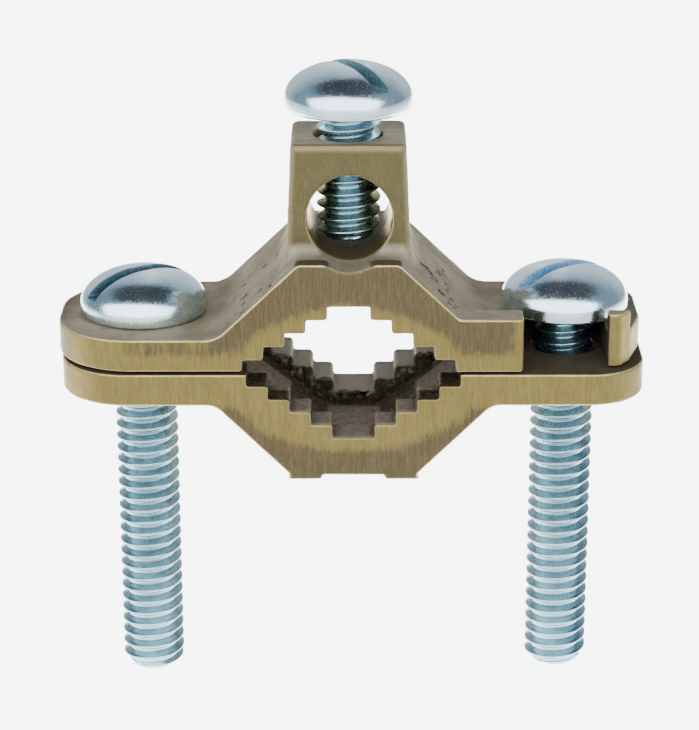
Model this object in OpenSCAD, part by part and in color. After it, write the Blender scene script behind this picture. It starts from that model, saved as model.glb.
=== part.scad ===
// Two-jaw ground clamp for water pipe: two stepped jaw castings, two long
// clamp screws and one short wire-terminal screw.
// Origin: the pipe axis, in the parting plane, midway along the jaws.
// +X runs along the clamp, +Y along the pipe, +Z towards the wire terminal.

/* [Jaw castings] */
// Depth of both jaws along the pipe
jaw_depth = 18.1; // [16:0.1:20]
// Thickness of each ear, from the parting plane to its outer face
ear_t = 3.39; // [3.2:0.01:3.8]
// Half of the gap between the two jaws when closed
part_gap = 0.14; // [0.08:0.02:0.3]
// Reach of the closed ear from the origin
ear_left = 28.55; // [27.8:0.05:29.5]
// Reach of the slotted ear from the origin
ear_right = 28.65; // [28.2:0.05:29.5]
// Corner radius of the closed ear, seen from above
ear_r = 7.5; // [6:0.1:8.5]
// Sideways offset of the lower casting against the upper one
lower_shift = 0.45; // [0:0.05:0.6]

/* [Saddle and steps] */
// Height of the saddle's top above the parting plane
saddle_h = 10.98; // [10.4:0.01:11.4]
// Half width of the saddle's flat top
saddle_top_w = 4.9; // [4.4:0.1:5.4]
// Half width of the saddle where its slopes meet the ears
saddle_foot_w = 12.85; // [12.4:0.05:13.2]
// Number of gripping steps on each side
step_n = 5; // [3:1:5]
// Width of one gripping step
step_w = 2.07; // [1.9:0.01:2.1]
// Height of one gripping step
step_h = 1.35; // [1.2:0.01:1.36]
// Length of the front row of steps along the pipe
row_front = 3.85; // [3:0.05:5]
// Length of the back row of steps along the pipe
row_back = 5.2; // [3:0.05:6]
// Extra depth of the smooth channel between the rows
channel_extra = 0.85; // [0.4:0.05:1]

/* [Slotted ear] */
// Inner wall of the open slot, from the origin
slot_in = 16.85; // [16.6:0.05:17.2]
// Outer wall of the open slot, from the origin
slot_out = 25.05; // [24.95:0.05:25.4]
// Height of the retaining lips above the ear
lip_h = 2.05; // [1.2:0.05:2.4]
// Depth of the retaining lips along the pipe
lip_d = 3.3; // [2.4:0.05:3.4]
// How far the outer prong is set back from the front face
prong_back = 1.55; // [1:0.05:2]

/* [Wire terminal] */
// Height of the terminal boss's top above the parting plane
boss_top = 21.54; // [21:0.02:22.4]
// Half width of the boss at its top
boss_w_top = 5.55; // [5.2:0.05:5.9]
// Half width of the boss at its foot
boss_w_foot = 6.1; // [6:0.05:6.3]
// Half depth of the boss at its top
boss_d_top = 4.84; // [4.6:0.02:5.2]
// Half depth of the boss at its foot
boss_d_foot = 5.55; // [5.3:0.05:5.9]
// Diameter of the wire hole
wire_d = 8.3; // [7.4:0.1:8.6]
// Height of the wire hole's axis
wire_z = 14.4; // [14:0.05:14.8]

/* [Lower casting] */
// Depth of the lower casting's flat bottom
bottom_z = 10.67; // [10.4:0.01:11.2]
// Height of the two ribs under the lower casting
rib_h = 0.45; // [0.3:0.05:0.8]
// Inner edge of each rib from the casting's middle
rib_in = 3.05; // [2.4:0.05:3.6]
// Outer edge of each rib from the casting's middle
rib_out = 6.5; // [5.6:0.05:6.55]

/* [Screws] */
// Major diameter of the quarter-inch thread
thread_d = 6.25; // [6.1:0.01:6.35]
// Root diameter of the thread
root_d = 4.84; // [4.7:0.02:5]
// Thread pitch, 20 turns to the inch
pitch = 1.27; // [1.27]
// Length of the two clamp screws under the head
clamp_len = 38.6; // [30:0.1:40]
// Length of the terminal screw under the head
term_len = 12.85; // [11:0.05:13.2]
// Distance of the closed ear's screw from the origin
screw_left = 20.35; // [20.2:0.05:20.5]
// Distance of the slotted ear's screw from the origin
screw_right = 21.35; // [21.2:0.05:21.5]
// Diameter of the round heads
head_d = 12.52; // [11.6:0.02:12.6]
// Height of the round heads
head_h = 4.35; // [3.8:0.05:4.6]
// Height of the rim below the dome
rim_h = 0.9; // [0.6:0.1:1.2]
// Width of the driver slot
slot_w = 1.5; // [1.2:0.1:1.8]
// Driver slot depth on the left clamp screw
slot_left_d = 2.2; // [1.4:0.1:2.4]
// Driver slot depth on the right clamp screw
slot_right_d = 1.5; // [1.4:0.1:2.4]
// Driver slot depth on the terminal screw
slot_term_d = 1.9; // [1.4:0.1:2.4]
// Height of the left head's underside above the closed ear
seat_left = 0.06; // [0.04:0.01:0.2]
// Height of the right head's underside above the slotted ear
seat_right = 0.45; // [0.3:0.05:0.6]
// Height of the terminal head's underside above the boss
seat_term = 2.62; // [2.3:0.02:3]

/* [Fits] */
// Radial clearance of a thread in its tapped hole
thread_fit = 0.05; // [0.03:0.01:0.1]
// Radial clearance of the left screw in the closed ear
hole_fit = 0.28; // [0.2:0.01:0.4]

/* [Hidden] */
bronze = [0.60, 0.53, 0.35];
zinc = [0.80, 0.84, 0.87];
hd = jaw_depth / 2;
slope = (saddle_h - ear_t) / (saddle_foot_w - saddle_top_w);
step_top = step_n * step_h;
tap_r = thread_d / 2 + thread_fit;
lower_slope_x = 13.45;
$fn = 96;

// Stepped opening, open at the parting plane; s is +1 for the upper jaw and -1 for the lower
module steps_2d(s) {
  for (k = [0 : step_n - 1])
    translate([-step_w * (k + 1), s > 0 ? -1 : -(step_top - step_h * k)])
      square([2 * step_w * (k + 1), 1 + step_top - step_h * k]);
}

// Smooth channel between the two rows of steps
module channel_2d(s) {
  h = step_top + channel_extra;
  w = step_w * step_n + 0.7;
  polygon([[-w, -s], [-w, s * 0.9], [-2.4, s * h], [2.4, s * h], [w, s * 0.9], [w, -s]]);
}

// Extrudes a front-view outline along the pipe, between two positions on Y
module along_y(y0, y1) {
  translate([0, y1, 0]) rotate([90, 0, 0]) linear_extrude(height = y1 - y0) children();
}

// Both rows of steps and the channel between them
module pipe_opening(s) {
  along_y(-hd - 1, hd + 1) steps_2d(s);
  along_y(-hd + row_front, hd - row_back) channel_2d(s);
}

// Plan outline with one radius at the left end, and one for each corner at the right end
module plan_2d(xl, rl, xr, rf, rb, fy) {
  translate([-xl + rl, -hd]) square([xl - rl, 2 * hd]);
  for (s = [-1, 1]) translate([-xl + rl, s * (hd - rl)]) circle(r = rl);
  translate([-xl, -hd + rl]) square([rl, 2 * (hd - rl)]);
  translate([-1, -fy]) square([xr - rf + 1, fy]);
  translate([-1, -1]) square([xr - rb + 1, hd + 1]);
  translate([xr - rf, -fy + rf]) circle(r = rf);
  translate([xr - rb, hd - rb]) circle(r = rb);
  translate([xr - max(rf, rb), -fy + rf]) square([max(rf, rb), hd - rb + fy - rf]);
}

// Plan outline of the upper jaw, with the open slot and its shorter outer prong
module upper_plan() {
  difference() {
    union() {
      plan_2d(ear_left, ear_r, ear_right, 4.5, 5.5, hd - prong_back);
      translate([0, -hd]) square([slot_in, hd]);
    }
    translate([slot_in, -hd - 1]) square([slot_out - slot_in, hd + 1]);
    translate([(slot_in + slot_out) / 2, 0]) circle(d = slot_out - slot_in);
  }
}

// Body of the upper casting below the terminal boss
module saddle() {
  intersection() {
    along_y(-hd, hd) polygon([
      [-ear_left - 1, part_gap], [-ear_left - 1, ear_t], [-saddle_foot_w, ear_t],
      [-saddle_top_w, saddle_h], [saddle_top_w, saddle_h], [saddle_foot_w, ear_t],
      [ear_right + 1, ear_t], [ear_right + 1, part_gap]]);
    linear_extrude(height = saddle_h + 1) upper_plan();
  }
}

// Retaining lips in front of the right head, on both sides of the slot's mouth
module lips() {
  x0 = saddle_foot_w - lip_h / slope - 0.6;
  intersection() {
    translate([0, 0, ear_t - 0.5]) linear_extrude(height = lip_h + 0.5) upper_plan();
    translate([x0, -hd - 1, ear_t - 0.5]) cube([ear_right, lip_d + 1, lip_h + 1]);
  }
}

// Tapered boss that holds the wire
module boss() {
  z0 = saddle_h - 2.4;
  intersection() {
    along_y(-boss_d_foot, boss_d_foot) polygon([
      [-boss_w_foot, z0], [-boss_w_top, boss_top], [boss_w_top, boss_top], [boss_w_foot, z0]]);
    translate([-boss_w_foot, 0, 0]) rotate([90, 0, 90]) linear_extrude(height = 2 * boss_w_foot) polygon([
      [-boss_d_foot, z0], [-boss_d_top, boss_top], [boss_d_top, boss_top], [boss_d_foot, z0]]);
  }
}

module upper_jaw() {
  color(bronze) difference() {
    union() {
      saddle();
      lips();
      boss();
    }
    pipe_opening(1);
    // wire hole, right through along the pipe
    translate([0.1, hd + 1, wire_z]) rotate([90, 0, 0]) cylinder(h = jaw_depth + 2, d = wire_d);
    // hole for the terminal screw
    translate([0, 0, wire_z]) cylinder(h = boss_top - wire_z + 1, r = tap_r);
    // clearance hole in the closed ear
    translate([-screw_left, 0, -1]) cylinder(h = ear_t + 2, r = thread_d / 2 + hole_fit);
  }
}

module lower_jaw() {
  color(bronze) difference() {
    union() {
      intersection() {
        translate([lower_shift, 0, 0]) along_y(-hd, hd) polygon([
          [-ear_left - 2, -part_gap], [-ear_left - 2, -ear_t], [-lower_slope_x, -ear_t],
          [-lower_slope_x + bottom_z - ear_t, -bottom_z], [lower_slope_x - bottom_z + ear_t, -bottom_z],
          [lower_slope_x, -ear_t], [ear_right + 2, -ear_t], [ear_right + 2, -part_gap]]);
        translate([0, 0, -bottom_z - 1]) linear_extrude(height = bottom_z + 1)
          plan_2d(ear_left - 0.25, 6.8, ear_right + 0.3, 5.5, 5.5, hd);
      }
      for (s = [-1, 1])
        translate([lower_shift + s * (rib_in + rib_out) / 2 - (rib_out - rib_in) / 2, -hd, -bottom_z - rib_h])
          cube([rib_out - rib_in, jaw_depth, rib_h + 0.5]);
    }
    translate([lower_shift, 0, 0]) pipe_opening(-1);
    // holes for the two clamp screws
    translate([-screw_left, 0, -ear_t - 1]) cylinder(h = ear_t + 2, r = tap_r);
    translate([screw_right, 0, -ear_t - 1]) cylinder(h = ear_t + 2, r = tap_r);
  }
}

// Thread flanks as rings from the tip (z = -len) up to the head (z = 0)
function thread_profile(len) =
  let (r1 = thread_d / 2, r0 = root_d / 2, c = pitch / 16, g = pitch / 8,
       n = floor((len - 0.9) / pitch))
  concat(
    [[0, -len], [r0 - 0.15, -len], [r0 + 0.35, -len + 0.45]],
    [for (i = [0 : n - 1], j = [0 : 3])
      let (z = -len + 0.9 + i * pitch)
      j == 0 ? [r1, z - c] : j == 1 ? [r1, z + c] : j == 2 ? [r0, z + pitch / 2 - g] : [r0, z + pitch / 2 + g]],
    [[r0, 0.5], [0, 0.5]]);

// Round head: underside at z = 0, short rim, then a full dome
function head_profile() =
  let (r = head_d / 2)
  concat(
    [[0, 0], [r - 0.25, 0], [r - 0.07, 0.08], [r, 0.3], [r, rim_h]],
    [for (a = [10 : 10 : 80]) [r * cos(a), rim_h + (head_h - rim_h) * sin(a)]],
    [[0, head_h]]);

// Slotted round-head machine screw, underside of the head at z = 0; turn and cut set the driver slot
module screw(len, turn, cut) {
  union() {
    rotate_extrude() polygon(thread_profile(len));
    difference() {
      rotate_extrude() polygon(head_profile());
      rotate([0, 0, turn]) translate([-head_d, -slot_w / 2, head_h - cut]) cube([2 * head_d, slot_w, cut + 1]);
    }
  }
}

module left_clamp_screw() {
  color(zinc) translate([-screw_left, 0, ear_t + seat_left]) screw(clamp_len, 34, slot_left_d);
}

module right_clamp_screw() {
  color(zinc) translate([screw_right, 0, ear_t + seat_right]) screw(clamp_len, 34, slot_right_d);
}

module terminal_screw() {
  color(zinc) translate([0, 0, boss_top + seat_term]) screw(term_len, -55, slot_term_d);
}

upper_jaw();
lower_jaw();
left_clamp_screw();
right_clamp_screw();
terminal_screw();
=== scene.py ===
import bpy, bmesh, math
import numpy as np
from mathutils import Vector, Matrix


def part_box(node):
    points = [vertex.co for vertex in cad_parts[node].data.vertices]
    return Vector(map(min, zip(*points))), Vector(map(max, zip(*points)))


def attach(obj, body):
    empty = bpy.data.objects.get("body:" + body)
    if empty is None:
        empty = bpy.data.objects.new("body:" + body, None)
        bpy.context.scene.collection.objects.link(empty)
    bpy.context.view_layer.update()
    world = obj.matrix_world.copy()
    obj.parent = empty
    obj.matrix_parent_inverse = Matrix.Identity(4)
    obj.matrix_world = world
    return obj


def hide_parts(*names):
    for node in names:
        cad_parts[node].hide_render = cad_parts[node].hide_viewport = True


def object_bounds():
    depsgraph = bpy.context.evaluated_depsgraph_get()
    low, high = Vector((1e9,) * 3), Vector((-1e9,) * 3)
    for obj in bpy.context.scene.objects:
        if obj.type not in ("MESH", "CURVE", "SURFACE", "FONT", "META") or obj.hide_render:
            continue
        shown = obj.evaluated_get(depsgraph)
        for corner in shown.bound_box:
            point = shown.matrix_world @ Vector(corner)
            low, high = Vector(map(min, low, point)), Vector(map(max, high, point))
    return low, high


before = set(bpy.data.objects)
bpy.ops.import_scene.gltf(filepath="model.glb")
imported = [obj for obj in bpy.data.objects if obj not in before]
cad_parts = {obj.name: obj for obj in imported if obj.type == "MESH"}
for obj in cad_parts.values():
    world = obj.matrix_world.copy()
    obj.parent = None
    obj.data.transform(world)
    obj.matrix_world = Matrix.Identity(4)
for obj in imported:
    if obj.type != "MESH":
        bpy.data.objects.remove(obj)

cad_box = [list(map(float, v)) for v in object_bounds()]
MM = 0.001

# ------------------------------------------------------------------ sizes, mm (as in the CAD)
HD = 9.05
EAR_T, GAP = 3.39, 0.14
EAR_L, EAR_R = 28.55, 28.65
SHIFT = 0.45
SADDLE_H, SADDLE_TOP, SADDLE_FOOT = 10.98, 4.9, 12.85
STEP_N, STEP_W, STEP_H = 5, 2.07, 1.35
ROW_F, ROW_B = 3.85, 5.2
SLOT_IN, SLOT_OUT = 16.85, 25.05
LIP_H, LIP_D, PRONG = 2.05, 3.3, 1.55
BOSS_TOP, BW_TOP, BW_FOOT, BD_TOP, BD_FOOT = 21.54, 5.55, 6.1, 4.84, 5.55
WIRE_R, WIRE_Z = 4.15, 14.4
BOT, RIB_H, RIB_IN, RIB_OUT = 10.67, 0.45, 3.05, 6.5
XL, XR = -20.35, 21.35
PITCH, R1, R0 = 1.27, 3.125, 2.42

# ------------------------------------------------------------------ signed-distance modelling
def fillet(pts, seg=7):
    """Closed outline with each corner (x, y, r) replaced by an arc."""
    out, n = [], len(pts)
    for i in range(n):
        p0, p1, p2 = (np.array(pts[j % n][:2], float) for j in (i - 1, i, i + 1))
        r = pts[i][2]
        a, b = p0 - p1, p2 - p1
        la, lb = np.linalg.norm(a), np.linalg.norm(b)
        a, b = a / la, b / lb
        ang = math.acos(max(-1, min(1, float(a @ b))))
        if r <= 0 or ang > math.pi - 0.02:
            out.append(p1)
            continue
        t = min(r / math.tan(ang / 2), 0.49 * la, 0.49 * lb)
        r = t * math.tan(ang / 2)
        c = p1 + (a + b) / np.linalg.norm(a + b) * (r / math.sin(ang / 2))
        s, e = p1 + a * t - c, p1 + b * t - c
        a0, a1 = math.atan2(s[1], s[0]), math.atan2(e[1], e[0])
        d = (a1 - a0 + math.pi) % (2 * math.pi) - math.pi
        for k in range(seg + 1):
            w = a0 + d * k / seg
            out.append(c + r * np.array([math.cos(w), math.sin(w)]))
    return np.array(out)


class Outline:
    """Signed distance to a closed outline, kept on a fine grid and read bilinearly."""
    def __init__(self, pts, lo, hi, step=0.07):
        self.lo, self.step = np.array(lo, float), step
        nx, ny = (int(math.ceil((hi[k] - lo[k]) / step)) + 2 for k in (0, 1))
        X = (lo[0] + step * np.arange(nx))[:, None]
        Y = (lo[1] + step * np.arange(ny))[None, :]
        best = np.full((nx, ny), 1e9)
        inside = np.zeros((nx, ny), bool)
        n = len(pts)
        for i in range(n):
            ax, ay = pts[i]
            bx, by = pts[(i + 1) % n]
            ex, ey = bx - ax, by - ay
            L = ex * ex + ey * ey
            if L < 1e-16:
                continue
            t = np.clip(((X - ax) * ex + (Y - ay) * ey) / L, 0, 1)
            best = np.minimum(best, (X - ax - t * ex) ** 2 + (Y - ay - t * ey) ** 2)
            if ay != by:
                cross = ((ay > Y) != (by > Y)) & (X < ex * (Y - ay) / ey + ax)
                inside ^= cross
        self.g = (np.sqrt(best) * np.where(inside, -1, 1)).astype(np.float32)

    def __call__(self, x, y):
        u = (x - self.lo[0]) / self.step
        v = (y - self.lo[1]) / self.step
        u = np.clip(u, 0, self.g.shape[0] - 1.001)
        v = np.clip(v, 0, self.g.shape[1] - 1.001)
        i, j = u.astype(np.int32), v.astype(np.int32)
        fu, fv = (u - i).astype(np.float32), (v - j).astype(np.float32)
        g = self.g
        i, j = np.broadcast_arrays(i, j)
        return ((g[i, j] * (1 - fu) + g[i + 1, j] * fu) * (1 - fv)
                + (g[i, j + 1] * (1 - fu) + g[i + 1, j + 1] * fu) * fv)


def rmax(a, b, r):
    return np.minimum(-r, np.maximum(a, b)) + np.sqrt(np.maximum(r + a, 0) ** 2 + np.maximum(r + b, 0) ** 2)


def rmin(a, b, r):
    return np.maximum(r, np.minimum(a, b)) - np.sqrt(np.maximum(r - a, 0) ** 2 + np.maximum(r - b, 0) ** 2)


class Noise:
    """Seeded lattice noise in -1..1."""
    def __init__(self, seed, n=32):
        self.n = n
        self.t = np.random.RandomState(seed).uniform(-1, 1, (n, n, n)).astype(np.float32)

    def __call__(self, x, y, z, size):
        out = 0
        u, v, w = x / size, y / size, z / size
        i, j, k = np.floor(u).astype(int), np.floor(v).astype(int), np.floor(w).astype(int)
        a, b, c = u - i, v - j, w - k
        a, b, c = (s * s * (3 - 2 * s) for s in (a, b, c))
        n, t = self.n, self.t
        for di in (0, 1):
            for dj in (0, 1):
                for dk in (0, 1):
                    wgt = (a if di else 1 - a) * (b if dj else 1 - b) * (c if dk else 1 - c)
                    out = out + wgt * t[(i + di) % n, (j + dj) % n, (k + dk) % n]
        return out


def smooth(x, a, b):
    t = np.clip((x - a) / (b - a), 0, 1)
    return t * t * (3 - 2 * t)


def nets(f, lo, hi, h):
    """Quad mesh of f = 0 on a grid of pitch h (surface nets)."""
    ax = [np.arange(lo[k], hi[k] + h, h, dtype=np.float32) for k in range(3)]
    D = f(ax[0][:, None, None], ax[1][None, :, None], ax[2][None, None, :]).astype(np.float32)
    S = D < 0
    c = np.zeros(tuple(s - 1 for s in D.shape), np.uint8)
    for dx in (0, 1):
        for dy in (0, 1):
            for dz in (0, 1):
                c += S[dx:S.shape[0] - 1 + dx, dy:S.shape[1] - 1 + dy, dz:S.shape[2] - 1 + dz]
    act = (c > 0) & (c < 8)
    idx = np.full(act.shape, -1, np.int32)
    I, J, K = np.nonzero(act)
    idx[I, J, K] = np.arange(len(I))
    acc, cnt = np.zeros((len(I), 3)), np.zeros(len(I))
    corners = [(a, b, d) for a in (0, 1) for b in (0, 1) for d in (0, 1)]
    for p in corners:
        for q in corners:
            if sum(abs(p[k] - q[k]) for k in range(3)) != 1 or p > q:
                continue
            da = D[I + p[0], J + p[1], K + p[2]].astype(float)
            db = D[I + q[0], J + q[1], K + q[2]].astype(float)
            m = (da < 0) != (db < 0)
            t = np.where(m, da / np.where(m, da - db, 1), 0)
            for k in range(3):
                acc[:, k] += np.where(m, p[k] + t * (q[k] - p[k]), 0)
            cnt += m
    V = np.stack([ax[0][I], ax[1][J], ax[2][K]], 1) + h * acc / cnt[:, None]
    quads = []
    for axis in range(3):
        o1, o2 = [k for k in range(3) if k != axis]
        a = [slice(None)] * 3
        b = [slice(None)] * 3
        a[axis], b[axis] = slice(0, -1), slice(1, None)
        A, B = S[tuple(a)], S[tuple(b)]
        m = A != B
        m[tuple(slice(0, 1) if k == o1 else slice(None) for k in range(3))] = False
        m[tuple(slice(0, 1) if k == o2 else slice(None) for k in range(3))] = False
        e = np.array(np.nonzero(m))
        lim = np.array(idx.shape)[:, None]
        ok = np.all((e < lim), 0)
        e = e[:, ok]
        def cell(d1, d2):
            g = e.copy()
            g[o1] -= d1
            g[o2] -= d2
            return idx[g[0], g[1], g[2]]
        q = np.stack([cell(1, 1), cell(0, 1), cell(0, 0), cell(1, 0)], 1)
        flip = A[e[0], e[1], e[2]]
        if axis == 1:
            flip = ~flip
        q[~flip] = q[~flip][:, ::-1]
        quads.append(q)
    Q = np.concatenate(quads)
    Q = Q[(Q >= 0).all(1)]
    return V, Q


def refine(f, V, rounds=2, e=0.04, limit=0.15):
    def grad(V):
        g = np.zeros_like(V)
        for k in range(3):
            d = np.zeros(3)
            d[k] = e
            P, M = V + d, V - d
            g[:, k] = (f(P[:, 0], P[:, 1], P[:, 2]) - f(M[:, 0], M[:, 1], M[:, 2])) / (2 * e)
        return g
    for _ in range(rounds):
        g = grad(V)
        n2 = np.maximum((g * g).sum(1), 0.2)
        d = f(V[:, 0], V[:, 1], V[:, 2])
        V = V - g * (np.clip(d, -limit, limit) / n2)[:, None]
    g = grad(V)
    return V, g / np.maximum(np.linalg.norm(g, axis=1), 1e-6)[:, None]


def make_mesh(name, V, F, normals=None, attrs=None):
    """V in mm, F an (n, 4) array or a list of faces."""
    me = bpy.data.meshes.new(name)
    if isinstance(F, np.ndarray):
        me.vertices.add(len(V))
        me.vertices.foreach_set("co", (V * MM).astype(np.float32).ravel())
        n, k = F.shape
        me.loops.add(n * k)
        me.loops.foreach_set("vertex_index", F.astype(np.int32).ravel())
        me.polygons.add(n)
        me.polygons.foreach_set("loop_start", np.arange(0, n * k, k, dtype=np.int32))
        me.polygons.foreach_set("loop_total", np.full(n, k, np.int32))
        me.update(calc_edges=True)
    else:
        me.from_pydata([tuple(v) for v in V * MM], [], F)
    me.validate()
    me.polygons.foreach_set("use_smooth", np.ones(len(me.polygons), bool))
    for key, val in (attrs or {}).items():
        a = me.attributes.new(key, "FLOAT", "POINT")
        a.data.foreach_set("value", val.astype(np.float32))
    if normals is not None:
        me.normals_split_custom_set_from_vertices(normals.astype(np.float32))
    ob = bpy.data.objects.new(name, me)
    bpy.context.collection.objects.link(ob)
    return ob


# ------------------------------------------------------------------ outlines
def stepped(s, r_root, r_tip, out=2.0):
    """Stepped opening of one jaw, in X and Z, open past the parting plane."""
    h = STEP_N * STEP_H
    pts = [(-STEP_W * STEP_N, -s * out, 0)]
    for k in range(STEP_N - 1, -1, -1):
        w, z = STEP_W * (k + 1), h - STEP_H * k
        pts.append((-w, s * z, r_root))
        if k:
            pts.append((-(w - STEP_W), s * z, r_tip))
    for k in range(STEP_N):
        w, z = STEP_W * (k + 1), h - STEP_H * k
        pts.append((w, s * z, r_root))
        if k < STEP_N - 1:
            pts.append((w, s * (z - STEP_H), r_tip))
    pts.append((STEP_W * STEP_N, -s * out, 0))
    return pts


def channel(s):
    h, w = STEP_N * STEP_H + 0.85, STEP_W * STEP_N + 0.7
    return [(-w, -s * 2, 0), (-w, s * 0.9, 1.2), (-2.4, s * h, 1.6), (2.4, s * h, 1.6), (w, s * 0.9, 1.2), (w, -s * 2, 0)]


LO2, HI2 = (-31, -12.5), (31, 12.5)
PLAN_U = Outline(fillet([
    (-EAR_L, -HD, 7.5), (SLOT_IN, -HD, 0.45), (SLOT_IN, 0.5, 0)] + [
    (20.95 + 4.1 * math.cos(math.radians(a)), 0.5 + 4.1 * math.sin(math.radians(a)), 0) for a in range(180, -1, -10)] + [
    (SLOT_OUT, 0.5, 0), (SLOT_OUT, -HD + PRONG, 0.4), (26.2, -HD + PRONG, 2.2), (27.45, -5.75, 3.2), (EAR_R, -1.8, 5.0),
    (EAR_R, HD, 5.5), (-EAR_L, HD, 7.5)], 26), LO2, HI2)
PLAN_L = Outline(fillet([
    (-EAR_L + 0.25, -HD, 6.8), (EAR_R + 0.3, -HD, 5.5), (EAR_R + 0.3, HD, 5.5), (-EAR_L + 0.25, HD, 6.8)], 26), LO2, HI2)
PROF_U = Outline(fillet([
    (-40, GAP, 0), (-40, EAR_T, 0), (-SADDLE_FOOT, EAR_T, 3.0), (-SADDLE_TOP, SADDLE_H, 1.0),
    (SADDLE_TOP, SADDLE_H, 1.0), (SADDLE_FOOT, EAR_T, 3.0), (40, EAR_T, 0), (40, GAP, 0)]), (-31, -3), (31, 24))
SX = 13.45
PROF_L = Outline(fillet([
    (-40 + SHIFT, -GAP, 0), (-40 + SHIFT, -EAR_T, 0), (-SX + SHIFT, -EAR_T, 2.2), (-SX + BOT - EAR_T + SHIFT, -BOT, 1.0),
    (-RIB_OUT + SHIFT + 0.02, -BOT - RIB_H, 0.3), (-RIB_IN + SHIFT, -BOT - RIB_H, 0.3), (-RIB_IN + SHIFT, -BOT, 0.35),
    (RIB_IN + SHIFT, -BOT, 0.35), (RIB_IN + SHIFT, -BOT - RIB_H, 0.3), (RIB_OUT + SHIFT - 0.02, -BOT - RIB_H, 0.3),
    (SX - BOT + EAR_T + SHIFT, -BOT, 1.0), (SX + SHIFT, -EAR_T, 2.2), (40 + SHIFT, -EAR_T, 0), (40 + SHIFT, -GAP, 0)]), (-31, -13), (31, 3))
STEP_U, STEPB_U = Outline(fillet(stepped(1, 0.18, 0.25), 4), (-13, -3), (13, 9)), Outline(fillet(stepped(1, 0.3, 0.5), 4), (-13, -3), (13, 9))
STEP_L, STEPB_L = Outline(fillet(stepped(-1, 0.18, 0.25), 4), (-13, -9), (13, 3)), Outline(fillet(stepped(-1, 0.3, 0.5), 4), (-13, -9), (13, 3))
CHAN_U, CHAN_L = Outline(fillet(channel(1)), (-14, -3), (14, 9)), Outline(fillet(channel(-1)), (-14, -9), (14, 3))
NZ = Noise(7)


def cut_opening(x, y, z, step, stepb, chan):
    front = np.maximum(step(x, z), y - 1.0)
    back = np.maximum(stepb(x, z), -1.0 - y)
    mid = rmax(chan(x, z), np.abs(y - (ROW_F - ROW_B) / 2) - (2 * HD - ROW_F - ROW_B) / 2, 0.35)
    return np.minimum(np.minimum(front, back), mid)


def lip_field(x, y, z):
    return np.maximum(rmax(z - (EAR_T + LIP_H), y + HD - LIP_D, 0.4), 9.2 - x)


def boss_field(x, y, z):
    """Horizontal distance to the wire boss' tapered, round-cornered block."""
    w = BW_FOOT + (BW_TOP - BW_FOOT) * (z - 8.58) / (BOSS_TOP - 8.58)
    dd = BD_FOOT + (BD_TOP - BD_FOOT) * (z - 8.58) / (BOSS_TOP - 8.58)
    r = 0.75
    qx, qy = np.abs(x) - w + r, np.abs(y) - dd + r
    return np.sqrt(np.maximum(qx, 0) ** 2 + np.maximum(qy, 0) ** 2) + np.minimum(np.maximum(qx, qy), 0) - r


def upper(x, y, z):
    plan = PLAN_U(x, y)
    prof = rmin(PROF_U(x, z), lip_field(x, y, z), 0.3)
    body = rmax(prof, plan, 0.26)
    body = rmax(body, GAP - z, 0.12)
    boss = rmax(boss_field(x, y, z), z - BOSS_TOP, 0.42)
    boss = np.maximum(boss, 8.0 - z)
    body = rmin(body, boss, 1.15)
    body = rmax(body, -cut_opening(x, y, z, STEP_U, STEPB_U, CHAN_U), 0.13)
    wire = np.sqrt((x - 0.1) ** 2 + (z - WIRE_Z) ** 2) - WIRE_R
    body = rmax(body, -wire, 0.2)
    term = np.maximum(np.sqrt(x ** 2 + y ** 2) - 3.22 - 0.5 * np.maximum(z - BOSS_TOP + 0.45, 0), WIRE_Z - z)
    body = rmax(body, -term, 0.12)
    hole = np.sqrt((x - XL) ** 2 + y ** 2) - 3.42
    body = rmax(body, -hole, 0.2)
    return body


def lower(x, y, z):
    body = rmax(PROF_L(x, z), PLAN_L(x, y), 0.28)
    body = rmax(body, z + GAP, 0.12)
    body = rmax(body, -cut_opening(x - SHIFT, y, z, STEP_L, STEPB_L, CHAN_L), 0.13)
    for xc in (XL, XR):
        body = rmax(body, -(np.sqrt((x - xc) ** 2 + y ** 2) - 3.2 - 0.45 * np.maximum(np.abs(z + 1.765) - 1.25, 0)), 0.1)
    return body


WALL_Y = HD - ROW_B


def inner_mask(x, y, z, sgn):
    xi = np.abs(x - (0 if sgn > 0 else SHIFT))
    deep = smooth(-(PROF_U if sgn > 0 else PROF_L)(x, z), 0.4, 0.9)            # not the jaw's own outside
    return deep * smooth(xi, 11.6, 11.0) * smooth(z * sgn, 7.9, 7.6) * smooth(z * sgn, -0.2, 0.1) * smooth(np.abs(y), HD - 0.5, HD - 0.9)


def pocket_mask(x, y, z):
    """Rough, dark ledges of the lower jaw's front row, in its two outer steps."""
    xi = np.abs(x - SHIFT)
    one = smooth(xi, 8.05, 8.3) * smooth(xi, 10.8, 10.5)
    two = smooth(xi, 6.1, 6.3) * smooth(xi, 8.35, 8.2) * smooth(y, -HD + 3.0, -HD + 2.4)
    return np.maximum(one, two) * smooth(z, -3.0, -2.8) * smooth(z, -0.1, -0.2) * smooth(y, -HD + ROW_F + 0.1, -HD + ROW_F - 0.15)


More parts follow.
